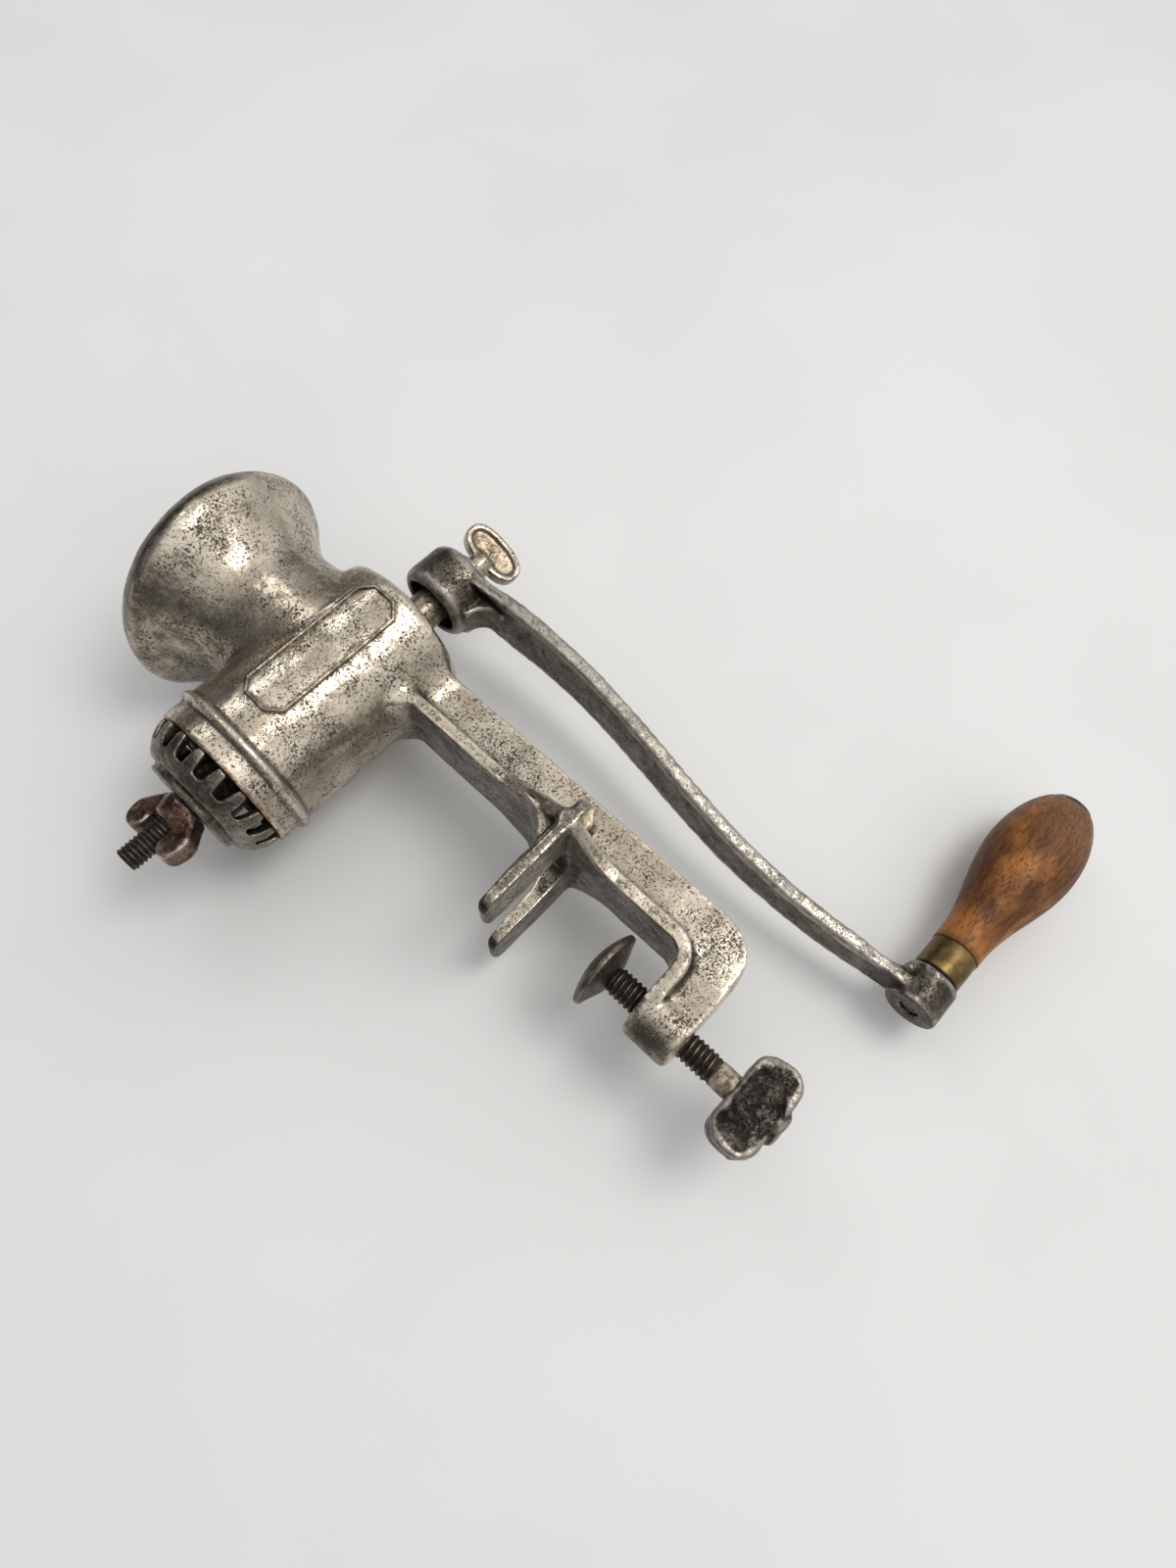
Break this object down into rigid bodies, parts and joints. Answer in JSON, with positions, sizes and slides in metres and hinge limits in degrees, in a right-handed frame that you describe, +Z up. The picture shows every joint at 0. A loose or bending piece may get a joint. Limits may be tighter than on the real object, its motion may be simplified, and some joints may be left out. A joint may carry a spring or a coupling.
{
  "type": "manual meat grinder",
  "caption": "Hand cranked meat grinder that clamps to a table: cast body with hopper, feed screw, toothed cutter, wing nut, curved crank with turned wooden grip, and screw clamp.",
  "frame": {"origin": "on the clamp screw's axis, at the height of the tabletop that the two prongs rest on", "axes": "+X along the barrel from the cutter to the crank, +Z up along the clamp screw, +Y to the left of someone facing the cutter from the front"},
  "size_m": [0.2431, 0.0852, 0.3008],
  "materials": {
    "tinned_iron": "worn tin plating, pitted",
    "dark_iron": "bare iron, pitted",
    "rusty_iron": "rusty, worn bright on edges",
    "dark_thread": "blackened, bright crests",
    "aged_brass": "aged",
    "grip_wood": "oiled, worn"
  },
  "bodies": {
    "frame": {"body_casting": "tinned_iron"},
    "drive": {"feed_screw": "tinned_iron", "thrust_washer": "aged_brass", "cutter_stud": "dark_thread", "cutter": "dark_iron", "crank_arm": "dark_iron", "handle_spindle": "rusty_iron", "grip_end_washer": "dark_iron"},
    "grip": {"wooden_grip": "grip_wood", "handle_ferrule": "aged_brass"},
    "nut": {"wing_nut": "rusty_iron"},
    "crank_screw": {"crank_thumb_screw": "tinned_iron"},
    "pad": {"clamp_pad": "dark_iron"},
    "clamp": {"clamp_screw": "dark_thread", "clamp_thumb_piece": "dark_iron"}
  },
  "joints": [
    {"name": "crank_turn", "type": "hinge", "parent": "frame", "child": "drive", "pos_m": [0, 0, 0.1026], "axis": [-1, 0, 0], "continuous": true},
    {"name": "handle_spin", "type": "hinge", "parent": "drive", "child": "grip", "pos_m": [0, 0.02245, -0.11102], "axis": [1, 0, 0], "continuous": true},
    {"name": "wing_nut_turn", "type": "hinge", "parent": "drive", "child": "nut", "pos_m": [0, 0, 0.1026], "axis": [-1, 0, 0], "range_deg": [0, 360]},
    {"name": "crank_screw_turn", "type": "hinge", "parent": "drive", "child": "crank_screw", "pos_m": [0, 0, 0.1026], "axis": [1, 0, 0], "range_deg": [0, 360]},
    {"name": "clamp_slide", "type": "slide", "parent": "frame", "child": "pad", "axis": [0, 0, 1], "range_m": [-0.011, 0.0175]},
    {"name": "clamp_turn", "type": "hinge", "parent": "pad", "child": "clamp", "pos_m": [0, 0, -0.05], "axis": [0, 0, 1], "range_deg": [-2040, 3240]}
  ],
  "couplings": [
    {"joint": "clamp_turn", "follows": "clamp_slide", "rad_per_m": 3222.1}
  ]
}
